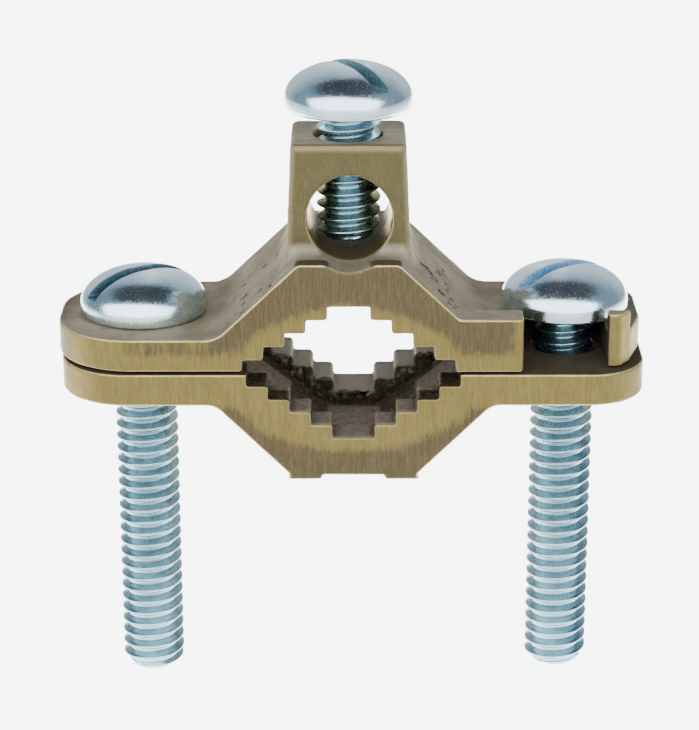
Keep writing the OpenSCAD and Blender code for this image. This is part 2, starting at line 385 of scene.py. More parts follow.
def cast_detail(base, sgn, pits):
    """Adds what sand casting leaves: slight waviness, rough inner walls and a few blow holes."""
    def f(x, y, z):
        d = base(x, y, z)
        ground = smooth(HD - np.abs(y), 0.05, 0.35)               # 0 on the linished front and back faces
        flat = smooth(np.abs(z) - GAP, 0.05, 0.3)                   # 0 on the parting faces
        d = d + ground * flat * (0.030 * NZ(x, y, z, 2.3) + 0.020 * NZ(x + 9, y, z, 0.75))
        # the edges were dressed by hand, so they wander a little
        d = d + 0.012 * NZ(x, y, z + 3, 1.3)
        wall = inner_mask(x, y, z, sgn) * smooth(np.abs(y - WALL_Y + 0.25), 1.3, 0.45)
        d = d + wall * (0.20 * NZ(x, y + 5, z * 0.55, 0.62) + 0.12 * NZ(x, y, z + 7, 0.33))
        mid = inner_mask(x, y, z, sgn) * smooth(y, WALL_Y - 0.4, WALL_Y - 1.6) * smooth(y, -HD + ROW_F - 0.4, -HD + ROW_F + 0.6)
        d = d + mid * 0.07 * NZ(x, y, z + 2, 0.7)
        if sgn < 0:
            d = d + pocket_mask(x, y, z) * smooth(y, -HD + 0.15, -HD + 0.5) * 0.16 * NZ(x + 3, y, z, 0.55)
        for (px, py, pz, pr, pd) in pits:
            q = ((x - px) ** 2 + (y - py) ** 2 + (z - pz) ** 2) / (pr * pr)
            d = d + pd * np.exp(-q * 1.6)
        return d
    return f


def jaw(name, node, base, prof, plan, step, lo, hi, sgn, pits):
    h = 0.2
    V, Q = nets(base, lo, hi, h)
    f = cast_detail(base, sgn, pits)
    V, N = refine(f, V, 2)
    # nothing stands proud of the CAD node's own box
    a, b = (np.array(c) * 1000 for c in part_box(node))
    V = np.clip(V, a, b)
    x, y, z = V.T
    cx = 0.0 if sgn > 0 else SHIFT
    # occlusion sampled along the normal, which drives painted shade in the bronze material
    occ = np.zeros(len(V))
    for L, wgt in ((0.5, 0.4), (1.2, 0.3), (2.6, 0.3)):
        P = V + N * L
        occ += wgt * np.clip(1 - f(P[:, 0], P[:, 1], P[:, 2]) / L, 0, 1)
    lin = smooth(np.abs(N[:, 1]), 0.35, 0.85) * smooth(-plan(x, y), 0.32, 0.12)
    lin = np.maximum(lin, smooth(-plan(x, y), 0.30, 0.10) * smooth(np.abs(N[:, 2]), 0.75, 0.35) * smooth(z * sgn, EAR_T + 2.3, EAR_T + 1.9) * (np.abs(x) > 13))
    # the fork's inner walls stay as cast
    fork = np.zeros(len(V))
    if sgn > 0:
        fork = (smooth(-plan(x, y), 0.35, 0.15) * smooth(x, SLOT_IN - 0.35, SLOT_IN - 0.15) * smooth(x, SLOT_OUT + 0.35, SLOT_OUT + 0.15)
                * smooth(y, -HD + 0.12, -HD + 0.4) * smooth(y, 5.4, 5.1) * smooth(np.abs(N[:, 2]), 0.85, 0.6)
                * np.maximum(smooth(np.abs(N[:, 0]), 0.4, 0.7), smooth(y, -1.0, 0.0)))
        lin = lin * (1 - fork)
    # where the belt also took the faces down to clean metal (mm inside that zone)
    ea, eb, ep = (12.2, 7.05, 1.6) if sgn > 0 else (12.9, 8.1, 2.0)
    ell = (1 - ((np.abs(x - cx) / ea) ** ep + (np.abs(z) / eb) ** ep) ** (1 / ep)) * eb
    if sgn > 0:
        zone = np.maximum(ell, 2.15 - z + 0.35 * NZ(x, 0 * y, 0 * z, 2.6))
        zone = np.maximum(zone, np.minimum(-x - 21.4, 3.0))
        zone = np.maximum(zone, np.where(x < -13.5, 0.0, -9.0))
        zone = np.maximum(zone, x - 15.9)
    else:
        zone = np.maximum(ell, z + 3.6 + 0 * x)
        zone = np.maximum(zone, np.minimum(np.abs(x) - 13.2, 3.0))
    # the opening's channel and back wall, where the bronze gets painted shade
    inner = inner_mask(x, y, z, sgn) * smooth(-np.abs(y - (ROW_F - ROW_B) / 2), -(2 * HD - ROW_F - ROW_B) / 2 - 0.35, -(2 * HD - ROW_F - ROW_B) / 2 + 0.1)
    floor_c = smooth(np.abs(x - cx), 3.0, 2.3) * smooth(y, WALL_Y - 0.5, WALL_Y - 3.4) * smooth(N[:, 2] * -sgn, 0.3, 0.7)
    inner = inner * (1 - 0.8 * floor_c)
    opening = inner_mask(x, y, z, sgn)
    pocket = np.zeros(len(V))
    if sgn < 0:
        pocket = pocket_mask(x, y, z) * smooth(np.abs(step(x - cx, z)), 0.35, 0.2) * smooth(np.abs(N[:, 1]), 0.85, 0.5)
        inner = inner * (1 - 0.9 * smooth(np.abs(x - cx), 6.0, 6.5) * smooth(y, 1.5, 0.7))
    tip = np.full(len(V), 9.0)
    for k in range(1, STEP_N):
        tip = np.minimum(tip, np.hypot(np.abs(x - cx) - STEP_W * (STEP_N - k), z - sgn * STEP_H * k))
    # the saddle's ledge in front of the boss foot, where a band of painted shade goes
    brow = np.zeros(len(V))
    if sgn > 0:
        brow = smooth(z, SADDLE_H - 0.3, SADDLE_H - 0.12) * smooth(z, SADDLE_H + 0.25, SADDLE_H + 0.1) * smooth(y, -7.0, -7.6) * smooth(np.abs(x), 5.6, 5.0) * smooth(N[:, 2], 0.6, 0.85)
    pit = np.zeros(len(V))
    for (px, py, pz, pr, pd) in pits:
        pit = np.maximum(pit, np.exp(-1.3 * ((x - px) ** 2 + (y - py) ** 2 + (z - pz) ** 2) / (pr * pr)))
    if sgn > 0:
        onb = smooth(z, 11.0, 12.2) * smooth(np.abs(boss_field(x, y, z)), 0.25, 0.1) * smooth(np.abs(N[:, 1]), 0.4, 0.8)
        lin = np.maximum(lin, onb)
    else:
        onb = 0 * z
    at = {"opening": opening, "pocket": pocket, "tip": tip, "fork": fork, "brow": brow, "boss": onb, "occ": occ, "lin": lin, "zone": zone, "inner": inner, "pit": pit, "e_plan": plan(x, y),
          "e_prof": prof(x, y, z), "e_step": step(x - cx, z)}
    if sgn > 0:
        w = BW_FOOT + (BW_TOP - BW_FOOT) * (z - 8.58) / (BOSS_TOP - 8.58)
        dd = BD_FOOT + (BD_TOP - BD_FOOT) * (z - 8.58) / (BOSS_TOP - 8.58)
        low = np.where(z > 9.5, 0, 1.0) * (9.5 - z)
        at["e_bx"] = np.abs(x) - w + low
        at["e_by"] = np.abs(y) - dd + low
        wr = np.sqrt((x - 0.1) ** 2 + (z - WIRE_Z) ** 2) - WIRE_R
        at["e_wire"] = wr
        bore = smooth(np.abs(wr), 0.22, 0.10) * smooth(np.abs(y), BD_FOOT + 0.1, BD_FOOT - 0.35) * smooth(N[:, 1] ** 2, 0.5, 0.3)
        tap = smooth(np.abs(np.sqrt(x ** 2 + y ** 2) - 3.22), 0.3, 0.15) * smooth(z, WIRE_Z, WIRE_Z + 0.5) * smooth(N[:, 2] ** 2, 0.6, 0.3)
        at["bore"] = np.maximum(bore, tap)
    return make_mesh(name, V, Q, N, at)


def slope_z(x):
    return SADDLE_H - (abs(x) - SADDLE_TOP) * (SADDLE_H - EAR_T) / (SADDLE_FOOT - SADDLE_TOP)


rng = np.random.RandomState(11)
pits_u = []
for sx, n, u0, u1, y0, y1 in ((-1, 18, 6.8, 12.2, -7.8, 4.0), (-1, 7, 9.0, 11.9, -8.0, -3.0), (1, 16, 7.2, 11.0, -6.8, 3.0), (1, 8, 8.0, 9.8, -6.5, 1.0)):
    for _ in range(n):
        u, y = rng.uniform(u0, u1), rng.uniform(y0, y1)
        r, dep = rng.uniform(0.18, 0.36), rng.uniform(0.16, 0.34)
        for _ in range(rng.randint(1, 4)):
            uu, yy = u + rng.uniform(-0.3, 0.3), y + rng.uniform(-0.3, 0.3)
            pits_u.append((sx * uu, yy, slope_z(uu) - 0.05, r * rng.uniform(0.6, 1.0), dep * rng.uniform(0.6, 1.0)))

upper_ob = jaw("upper_jaw_casting", "upper_jaw", upper, lambda x, y, z: np.minimum(PROF_U(x, z), lip_field(x, y, z)), PLAN_U, STEP_U,
               (-29.3, -9.8, -0.6), (29.4, 9.8, 22.4), 1, pits_u)
lower_ob = jaw("lower_jaw_casting", "lower_jaw", lower, lambda x, y, z: PROF_L(x, z), PLAN_L, STEP_L,
               (-29.3, -9.8, -11.9), (29.9, 9.8, 0.6), -1, [])

# ------------------------------------------------------------------ screws
HEAD_R, HEAD_H, RIM = 6.26, 4.35, 0.9


def screw(name, node, x, z_under, length, turn, cutd, phase):
    """Slotted round-head machine screw with a true helical thread, underside of the head at z = 0."""
    seg = 72
    prof = [(-0.5, R0 + 0.0), (-0.385, R0 + 0.03), (-0.345, R0 + 0.09), (-0.105, R1 - 0.075), (-0.075, R1 - 0.02), (-0.03, R1), (0.03, R1), (0.075, R1 - 0.02),
            (0.105, R1 - 0.075), (0.345, R0 + 0.09), (0.385, R0 + 0.03)]
    turns = int(math.ceil(length / PITCH)) + 3
    n = len(prof)
    rows = turns * seg + 1
    V = np.zeros((rows * n, 3))
    for k in range(rows):
        a = 2 * math.pi * k / seg + phase
        zc = -length - 1.5 * PITCH + PITCH * k / seg
        for j, (pz, pr) in enumerate(prof):
            z = zc + pz * PITCH
            r = pr
            tip = R0 - 0.15 + (z + length) * 1.05           # chamfer at the tip
            r = min(r, max(tip, R0 - 0.15)) if z < -length + 1.2 else r
            V[k * n + j] = (r * math.cos(a), r * math.sin(a), z)
    F = []
    for k in range(rows - 1):
        for j in range(n):
            a0, b0 = k * n + j, (k + 1) * n + j
            if j < n - 1:
                F.append((a0, b0, b0 + 1, a0 + 1))
            elif k + seg + 1 < rows:
                F.append((a0, b0, (k + 1 + seg) * n, (k + seg) * n))
    me = bpy.data.meshes.new(name)
    me.from_pydata([tuple(v) for v in V], [], F)
    bm = bmesh.new()
    bm.from_mesh(me)
    bmesh.ops.remove_doubles(bm, verts=bm.verts, dist=1e-5)
    for zc, up in ((-length, False), (0.0, True)):
        geom = bm.verts[:] + bm.edges[:] + bm.faces[:]
        bmesh.ops.bisect_plane(bm, geom=geom, dist=1e-6, plane_co=(0, 0, zc), plane_no=(0, 0, 1), clear_outer=up, clear_inner=not up)
    # tip: a small inner chamfer ring, then a flat end
    bot = [e for e in bm.edges if e.is_boundary and all(abs(v.co.z + length) < 1e-4 for v in e.verts)]
    res = bmesh.ops.extrude_edge_only(bm, edges=bot)
    nv = [v for v in res["geom"] if isinstance(v, bmesh.types.BMVert)]
    for v in nv:
        r = math.hypot(v.co.x, v.co.y)
        s = (r - 0.22) / r
        v.co.x *= s
        v.co.y *= s
        v.co.z -= 0.0
    ne = [e for e in res["geom"] if isinstance(e, bmesh.types.BMEdge) and e.is_boundary]
    bmesh.ops.contextual_create(bm, geom=ne)
    # head: a lathe from the underside's inner ring to the dome's pole
    top = [e for e in bm.edges if e.is_boundary and all(abs(v.co.z) < 1e-4 for v in e.verts)]
    hp = [(R1 + 0.25, 0.0), (4.6, 0.0), (HEAD_R - 0.42, 0.0), (HEAD_R - 0.22, 0.03), (HEAD_R - 0.08, 0.12), (HEAD_R - 0.015, 0.27), (HEAD_R, 0.45), (HEAD_R - 0.005, RIM)]
    for a in np.linspace(6, 84, 20):
        c, s = math.cos(math.radians(a)), math.sin(math.radians(a))
        hp.append((HEAD_R * c ** 0.94, RIM + (HEAD_H - RIM) * s ** 1.0))
    hs = 96
    rings = []
    for (r, z) in hp:
        rings.append([bm.verts.new((r * math.cos(2 * math.pi * i / hs), r * math.sin(2 * math.pi * i / hs), z)) for i in range(hs)])
    for a, b in zip(rings, rings[1:]):
        for i in range(hs):
            bm.faces.new((a[i], a[(i + 1) % hs], b[(i + 1) % hs], b[i]))
    pole = bm.verts.new((0, 0, HEAD_H))
    for i in range(hs):
        bm.faces.new((rings[-1][i], rings[-1][(i + 1) % hs], pole))
    inner = [bm.edges.get((rings[0][i], rings[0][(i + 1) % hs])) for i in range(hs)]
    bmesh.ops.bridge_loops(bm, edges=top + inner)
    bmesh.ops.recalc_face_normals(bm, faces=bm.faces)
    bm.to_mesh(me)
    bm.free()
    ob = bpy.data.objects.new(name, me)
    bpy.context.collection.objects.link(ob)
    # driver slot
    cb = bmesh.new()
    bmesh.ops.create_cube(cb, size=1)
    bmesh.ops.scale(cb, vec=(2.4 * HEAD_R, 1.5, 3.0), verts=cb.verts)
    bmesh.ops.translate(cb, vec=(0, 0, HEAD_H - cutd + 1.5), verts=cb.verts)
    low = [e for e in cb.edges if all(v.co.z < HEAD_H - cutd + 0.2 for v in e.verts) and abs(e.verts[0].co.y - e.verts[1].co.y) < 1e-6]
    bmesh.ops.bevel(cb, geom=low, offset=0.18, segments=3, affect="EDGES", profile=0.5)
    bmesh.ops.rotate(cb, cent=(0, 0, 0), matrix=Matrix.Rotation(math.radians(turn), 3, "Z"), verts=cb.verts)
    cm = bpy.data.meshes.new(name + "_cut")
    cb.to_mesh(cm)
    cb.free()
    cut = bpy.data.objects.new(name + "_cut", cm)
    bpy.context.collection.objects.link(cut)
    bo = ob.modifiers.new("slot", "BOOLEAN")
    bo.operation, bo.object, bo.solver = "DIFFERENCE", cut, "EXACT"
    dg = bpy.context.evaluated_depsgraph_get()
    ev = bpy.data.meshes.new_from_object(ob.evaluated_get(dg))
    ob.modifiers.clear()
    bpy.data.objects.remove(cut)
    bm = bmesh.new()
    bm.from_mesh(ev)
    # soften the slot's edges, where the dome was milled
    s, c = math.sin(math.radians(turn)), math.cos(math.radians(turn))
    edge = []
    for e in bm.edges:
        if len(e.link_faces) != 2 or min(v.co.z for v in e.verts) < 0.3:
            continue
        vy = [abs(-s * v.co.x + c * v.co.y) for v in e.verts]
        if all(abs(t - 0.75) < 2e-3 for t in vy) and e.calc_face_angle(0) > math.radians(35):
            edge.append(e)
    if edge:
        bmesh.ops.bevel(bm, geom=edge, offset=0.09, segments=2, affect="EDGES", profile=0.6, clamp_overlap=True)
    bmesh.ops.scale(bm, vec=(MM, MM, MM), verts=bm.verts)
    bmesh.ops.translate(bm, vec=(x * MM, 0, z_under * MM), verts=bm.verts)
    bmesh.ops.recalc_face_normals(bm, faces=bm.faces)
    for fc in bm.faces:
        fc.smooth = True
    for e in bm.edges:
        if len(e.link_faces) == 2:
            e.smooth = e.calc_face_angle(0) < math.radians(38)
    # the head, for its own finish
    hay = bm.verts.layers.float.new("head")
    lo, hi = (np.array(c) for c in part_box(node))
    for v in bm.verts:
        lx, ly, lz = v.co.x / MM - x, v.co.y / MM, v.co.z / MM - z_under
        v[hay] = 1.0 if lz > -0.02 and math.hypot(lx, ly) > R1 + 0.1 or lz > 0.3 else 0.0
        for k in range(3):
            v.co[k] = min(max(v.co[k], lo[k]), hi[k])
    bm.to_mesh(ev)
    bm.free()
    ob.data = ev
    return ob


left_ob = screw("left_clamp_screw_detail", "left_clamp_screw", XL, EAR_T + 0.06, 38.6, 34, 2.2, 0.4)
right_ob = screw("right_clamp_screw_detail", "right_clamp_screw", XR, EAR_T + 0.45, 38.6, 34, 1.5, 1.9)
term_ob = screw("terminal_screw_detail", "terminal_screw", 0.0, BOSS_TOP + 2.62, 12.85, -55, 1.9, 3.0)


# ------------------------------------------------------------------ materials
def new_mat(name):
    m = bpy.data.materials.new(name)
    m.use_nodes = True
    nt = m.node_tree
    for n in list(nt.nodes):
        nt.nodes.remove(n)
    out = nt.nodes.new("ShaderNodeOutputMaterial")
    bs = nt.nodes.new("ShaderNodeBsdfPrincipled")
    nt.links.new(bs.outputs[0], out.inputs[0])
    return m, nt, bs


class G:
    """Small helper for node graphs."""
    def __init__(self, nt):
        self.nt = nt

    def n(self, kind, **kw):
        x = self.nt.nodes.new(kind)
        for k, v in kw.items():
            setattr(x, k, v)
        return x

    def put(self, sock, v):
        if hasattr(v, "links"):
            self.nt.links.new(v, sock)
        elif v is not None:
            sock.default_value = v

    def math(self, op, a, b=None, c=None, clamp=False):
        x = self.n("ShaderNodeMath", operation=op, use_clamp=clamp)
        for i, v in enumerate((a, b, c)):
            if v is not None:
                self.put(x.inputs[i], v)
        return x.outputs[0]

    def mix(self, f, a, b, kind="RGBA", blend="MIX"):
        x = self.n("ShaderNodeMix", data_type=kind, blend_type=blend) if kind == "RGBA" else self.n("ShaderNodeMix", data_type=kind)
        ids = {"RGBA": (6, 7, 2), "FLOAT": (2, 3, 0)}[kind]
        self.put(x.inputs[0], f)
        self.put(x.inputs[ids[0]], a)
        self.put(x.inputs[ids[1]], b)
        return x.outputs[ids[2]]

    def ramp(self, v, lo, hi, a=0.0, b=1.0):
        x = self.n("ShaderNodeMapRange", interpolation_type="SMOOTHSTEP")
        self.put(x.inputs[0], v)
        for i, t in enumerate((lo, hi, a, b)):
            x.inputs[i + 1].default_value = t
        return x.outputs[0]

    def noise(self, vec, scale, detail=3.0, rough=0.5, dist=0.0):
        x = self.n("ShaderNodeTexNoise")
        self.put(x.inputs["Vector"], vec)
        x.inputs["Scale"].default_value = scale
        x.inputs["Detail"].default_value = detail
        x.inputs["Roughness"].default_value = rough
        x.inputs["Distortion"].default_value = dist
        return x.outputs["Fac"]

    def scaled(self, vec, s, loc=(0, 0, 0)):
        x = self.n("ShaderNodeMapping")
        self.put(x.inputs["Vector"], vec)
        x.inputs["Scale"].default_value = s
        x.inputs["Location"].default_value = loc
        return x.outputs[0]

    def attr(self, name):
        return self.n("ShaderNodeAttribute", attribute_name=name).outputs["Fac"]


def edge_mask(g, a, b, wob, w0, w1):
    """1 on the line where the surfaces a = 0 and b = 0 (in mm) meet, 0 away from it."""
    m = g.math("MAXIMUM", g.math("ABSOLUTE", a), g.math("ABSOLUTE", b))
    return g.ramp(g.math("ADD", m, wob), w1, w0)


def bronze(name, sgn, cx, seed):
    m, nt, bs = new_mat(name)
    g = G(nt)
    obj = g.n("ShaderNodeTexCoord").outputs["Object"]
    sep = g.n("ShaderNodeSeparateXYZ")
    nt.links.new(obj, sep.inputs[0])
    X, Y, Z = (g.math("MULTIPLY", o, 1000.0) for o in sep.outputs)      # mm
    p = g.scaled(obj, (1, 1, 1), (seed, seed * 0.7, -seed))
    lin, occ, zone, inner, pit = (g.attr(k) for k in ("lin", "occ", "zone", "inner", "pit"))
    plan, prof, step = (g.attr(k) for k in ("e_plan", "e_prof", "e_step"))
    # linished faces: fine vertical streaks over a blotchy olive gold
    streak = g.noise(g.scaled(p, (7600, 1200, 900)), 1.0, 3.0, 0.65)
    streak2 = g.noise(g.scaled(p, (3600, 600, 420)), 1.0, 3.0, 0.6)
    blot = g.noise(p, 420, 4.0, 0.6)
    mott = g.noise(p, 2300, 3.0, 0.65)
    wob = g.math("ADD", g.math("MULTIPLY", g.math("SUBTRACT", g.noise(g.scaled(p, (700, 300, 420)), 1.0, 3.0, 0.6), 0.5), 1.3),
                 g.math("MULTIPLY", g.math("SUBTRACT", g.noise(g.scaled(p, (2400, 500, 620)), 1.0, 3.0, 0.6), 0.5), 1.5))
    light = g.ramp(g.math("ADD", zone, wob), -0.45, 0.55)
    col_l = g.mix(g.ramp(streak2, 0.36, 0.66), LIGHT_A, LIGHT_B)
    col_d = g.mix(g.ramp(streak2, 0.36, 0.66), DARK_A, DARK_B)
    face = g.mix(light, col_d, col_l)
    if sgn > 0:
        face = g.mix(g.math("MULTIPLY", g.attr("boss"), 0.8), face, BOSS)
    face = g.mix(g.math("MULTIPLY", g.ramp(streak, 0.50, 0.74), g.mix(light, 0.20, 0.34, "FLOAT")), face, LIGHT_C)
    face = g.mix(g.math("MULTIPLY", g.ramp(blot, 0.54, 0.72), 0.34), face, BLOT)
    face = g.mix(g.math("MULTIPLY", g.ramp(mott, 0.56, 0.74), 0.30), face, OLIVE)
    # as-cast skin: grey brown
    grain = g.noise(p, 6200, 3.0, 0.65)
    big = g.noise(p, 300, 3.0, 0.55)
    skin = g.mix(g.ramp(big, 0.35, 0.65), SKIN_A, SKIN_B)
    skin = g.mix(g.math("MULTIPLY", g.ramp(grain, 0.50, 0.78), 0.45), skin, SKIN_C)
    skin = g.mix(g.math("MULTIPLY", g.ramp(mott, 0.55, 0.75), 0.35), skin, SKIN_D)
    opening = g.attr("opening")
    skin_in = g.mix(g.ramp(mott, 0.38, 0.64), SKIN_E, SKIN_F)
    back = g.math("MULTIPLY", opening, g.ramp(Y, WALL_Y - 0.05, WALL_Y + 0.35))
    skin_in = g.mix(back, skin_in, SKIN_G if sgn > 0 else SKIN_H)
    skin = g.mix(opening, skin, skin_in)
    # painted shade near the parting plane, where the two jaws face each other across a narrow gap; the cast skin there
    # is left untouched
    parting_shade = g.math("MULTIPLY", g.ramp(g.math("ABSOLUTE", g.math("ADD", Z, -sgn * GAP)), 0.22, 0.07), 0.85)
    skin = g.mix(parting_shade, skin, PARTING_SHADE)
    base = g.mix(lin, skin, face)
    # painted shade: the rounded ends are coloured darker than the flat faces
    ends_shade = g.ramp(g.math("ABSOLUTE", X), 26.2, 28.5)
    base = g.mix(g.math("MULTIPLY", ends_shade, 0.62), base, ENDS_SHADE)
    # painted occlusion shade: darker where the surface is hemmed in, more so inside the opening, less on its back row
    occlusion_shade = g.math("MULTIPLY", g.ramp(g.math("ADD", occ, g.math("MULTIPLY", g.math("SUBTRACT", big, 0.5), 0.25)), 0.12, 0.72), g.math("SUBTRACT", g.mix(opening, 0.26, 0.66, "FLOAT"), g.math("MULTIPLY", back, 0.40)))
    base = g.mix(occlusion_shade, base, OCCLUSION_SHADE)
    # painted shade deep in the opening's channel and on its back wall, over a dark as-cast skin with olive mottling
    deep = g.math("MULTIPLY", g.ramp(g.math("ADD", inner, g.math("MULTIPLY", g.math("SUBTRACT", mott, 0.5), 0.9)), 0.35, 0.85), 0.90)
    olive = g.noise(p, 1500, 4.0, 0.7)
    low_o = 0.0 if sgn > 0 else 0.05
    base = g.mix(deep, base, g.mix(g.ramp(olive, 0.46 + low_o, 0.66 + low_o), DEEP, DEEP_HI))
    pock = g.math("MULTIPLY", g.ramp(g.math("ADD", g.attr("pocket"), g.math("MULTIPLY", g.math("SUBTRACT", mott, 0.5), 0.5)), 0.25, 0.75), 0.93)
    base = g.mix(pock, base, g.mix(g.ramp(mott, 0.48, 0.70), POCKET, POCKET_HI))
    if sgn > 0:
        # a narrow band of painted shade on the saddle's ledge in front of the boss foot
        base = g.mix(g.math("MULTIPLY", g.attr("brow"), 0.85), base, BROW)
        base = g.mix(g.math("MULTIPLY", g.attr("fork"), 0.92), base, FORK)
    hole = g.ramp(g.math("ADD", pit, g.math("MULTIPLY", g.math("SUBTRACT", grain, 0.5), 0.6)), 0.26, 0.50)
    base = g.mix(g.math("MULTIPLY", hole, 0.92), base, PIT)
    # thin bright lines where handling has worn the arrises
    wn = g.math("MULTIPLY", g.math("SUBTRACT", g.noise(p, 700, 4.0, 0.65), 0.5), 0.16)
    gapz = g.math("ADD", Z, -sgn * GAP)
    rubs = [edge_mask(g, plan, prof, wn, 0.11, 0.20)]
    rubs.append(g.math("MULTIPLY", edge_mask(g, plan, gapz, wn, 0.05, 0.14), 0.75))
    rubs.append(g.math("MULTIPLY", edge_mask(g, plan, step, wn, 0.05, 0.12), 0.30))
    rubs.append(g.math("MULTIPLY", g.ramp(g.math("ADD", g.attr("tip"), wn), 0.34, 0.14), g.math("MULTIPLY", opening, 0.22)))
    for yy in (-HD + ROW_F, WALL_Y):
        rubs.append(g.math("MULTIPLY", edge_mask(g, g.math("ADD", Y, -yy), step, wn, 0.06, 0.16), 0.20))
    if sgn > 0:
        bx, by, wire = g.attr("e_bx"), g.attr("e_by"), g.attr("e_wire")
        bt = g.math("ADD", Z, -BOSS_TOP)
        inb = g.math("MAXIMUM", bx, by)
        rubs.append(g.math("MULTIPLY", edge_mask(g, g.math("ADD", bt, 0.28), inb, wn, 0.10, 0.50), 0.24))
        rubs.append(g.math("MULTIPLY", edge_mask(g, bx, by, wn, 0.24, 0.62), 0.28))
        mill = g.noise(g.scaled(p, (260, 5200, 900)), 1.0, 2.0, 0.6)
        topf = g.ramp(bt, -0.10, -0.02)
        base = g.mix(g.math("MULTIPLY", topf, g.math("MULTIPLY", g.ramp(mill, 0.42, 0.66), 0.55)), base, MILL)
        base = g.mix(g.math("MULTIPLY", g.math("MULTIPLY", topf, g.ramp(by, -0.75, -0.40)), 0.75), base, BROW)
        rubs.append(g.math("MULTIPLY", edge_mask(g, wire, inb, wn, 0.06, 0.13), 0.85))
    rub = rubs[0]
    for r in rubs[1:]:
        rub = g.math("MAXIMUM", rub, r)
    rub = g.math("MULTIPLY", rub, 0.88)
    base = g.mix(rub, base, WORN)
    rough = g.math("ADD", g.mix(lin, 0.66, 0.42, "FLOAT"), g.math("MULTIPLY", g.math("SUBTRACT", streak2, 0.5), 0.22))
    rough = g.mix(rub, rough, 0.36, "FLOAT")
    if sgn > 0:
        bore = g.attr("bore")
        # painted shade on the lower part of the wire bore, darker deeper inside it
        low = g.math("MULTIPLY", g.ramp(g.math("ADD", Z, g.math("MULTIPLY", g.math("SUBTRACT", big, 0.5), 0.8)), WIRE_Z - 1.1, WIRE_Z - 2.9), g.ramp(Z, WIRE_Z + 3, WIRE_Z))
        bore_shade = g.mix(g.ramp(Y, -4.6, -5.4), BORE_D, BORE_C)
        tone = g.mix(low, g.mix(g.ramp(big, 0.4, 0.65), BORE_A, BORE_B), bore_shade)
        base = g.mix(bore, base, tone)
        rough = g.mix(bore, rough, g.mix(low, 0.24, 0.55, "FLOAT"), "FLOAT")
        met = g.math("MULTIPLY", bore, g.mix(low, 0.40, -0.35, "FLOAT"))
        met = g.math("ADD", met, g.math("MULTIPLY", g.ramp(X, -25.8, -28.0), -0.40))
        nt.links.new(g.math("ADD", met, 0.60), bs.inputs["Metallic"])
    else:
        bs.inputs["Metallic"].default_value = 0.6
    bs.inputs["Specular IOR Level"].default_value = 0.12
    bs.inputs["Specular Tint"].default_value = (1.0, 0.88, 0.66, 1)
    nt.links.new(base, bs.inputs["Base Color"])
    nt.links.new(rough, bs.inputs["Roughness"])
    # relief: sand grain off the ground faces, linishing marks on them
    b1 = g.n("ShaderNodeBump")
    b1.inputs["Strength"].default_value = 0.6
    b1.inputs["Distance"].default_value = 0.00006
    hs = g.math("ADD", g.math("MULTIPLY", grain, 1.0), g.math("MULTIPLY", g.noise(p, 1500, 3.0, 0.6), 1.4))
    hs = g.math("SUBTRACT", hs, g.math("MULTIPLY", hole, 1.6))
    hgt = g.mix(lin, hs, g.math("ADD", g.math("MULTIPLY", streak, 0.36), g.math("MULTIPLY", streak2, 0.28)), "FLOAT")
    nt.links.new(hgt, b1.inputs["Height"])
    nt.links.new(b1.outputs[0], bs.inputs["Normal"])
    return m


BOSS = (0.084, 0.073, 0.034, 1)
LIGHT_A, LIGHT_B, LIGHT_C = (0.150, 0.117, 0.037, 1), (0.182, 0.144, 0.048, 1), (0.27, 0.22, 0.086, 1)
DARK_A, DARK_B = (0.076, 0.059, 0.030, 1), (0.094, 0.074, 0.040, 1)
BLOT, OLIVE = (0.140, 0.080, 0.034, 1), (0.072, 0.060, 0.019, 1)
SKIN_A, SKIN_B = (0.200, 0.168, 0.118, 1), (0.285, 0.246, 0.186, 1)
SKIN_C, SKIN_D = (0.45, 0.39, 0.30, 1), (0.110, 0.090, 0.060, 1)
SKIN_E, SKIN_F, SKIN_G = (0.115, 0.094, 0.076, 1), (0.175, 0.150, 0.128, 1), (0.270, 0.243, 0.215, 1)
PARTING_SHADE, FORK, BROW, MILL = (0.040, 0.032, 0.020, 1), (0.014, 0.011, 0.006, 1), (0.040, 0.032, 0.018, 1), (0.150, 0.135, 0.105, 1)
OCCLUSION_SHADE, DEEP, DEEP_HI, PIT = (0.024, 0.018, 0.011, 1), (0.018, 0.014, 0.008, 1), (0.150, 0.130, 0.080, 1), (0.016, 0.013, 0.007, 1)
ENDS_SHADE, SKIN_H = (0.034, 0.028, 0.016, 1), (0.275, 0.247, 0.218, 1)
POCKET, POCKET_HI = (0.013, 0.009, 0.004, 1), (0.042, 0.034, 0.021, 1)
WORN = (0.44, 0.36, 0.17, 1)
BORE_A, BORE_B, BORE_C, BORE_D = (0.28, 0.21, 0.084, 1), (0.36, 0.28, 0.128, 1), (0.105, 0.080, 0.026, 1), (0.034, 0.024, 0.008, 1)


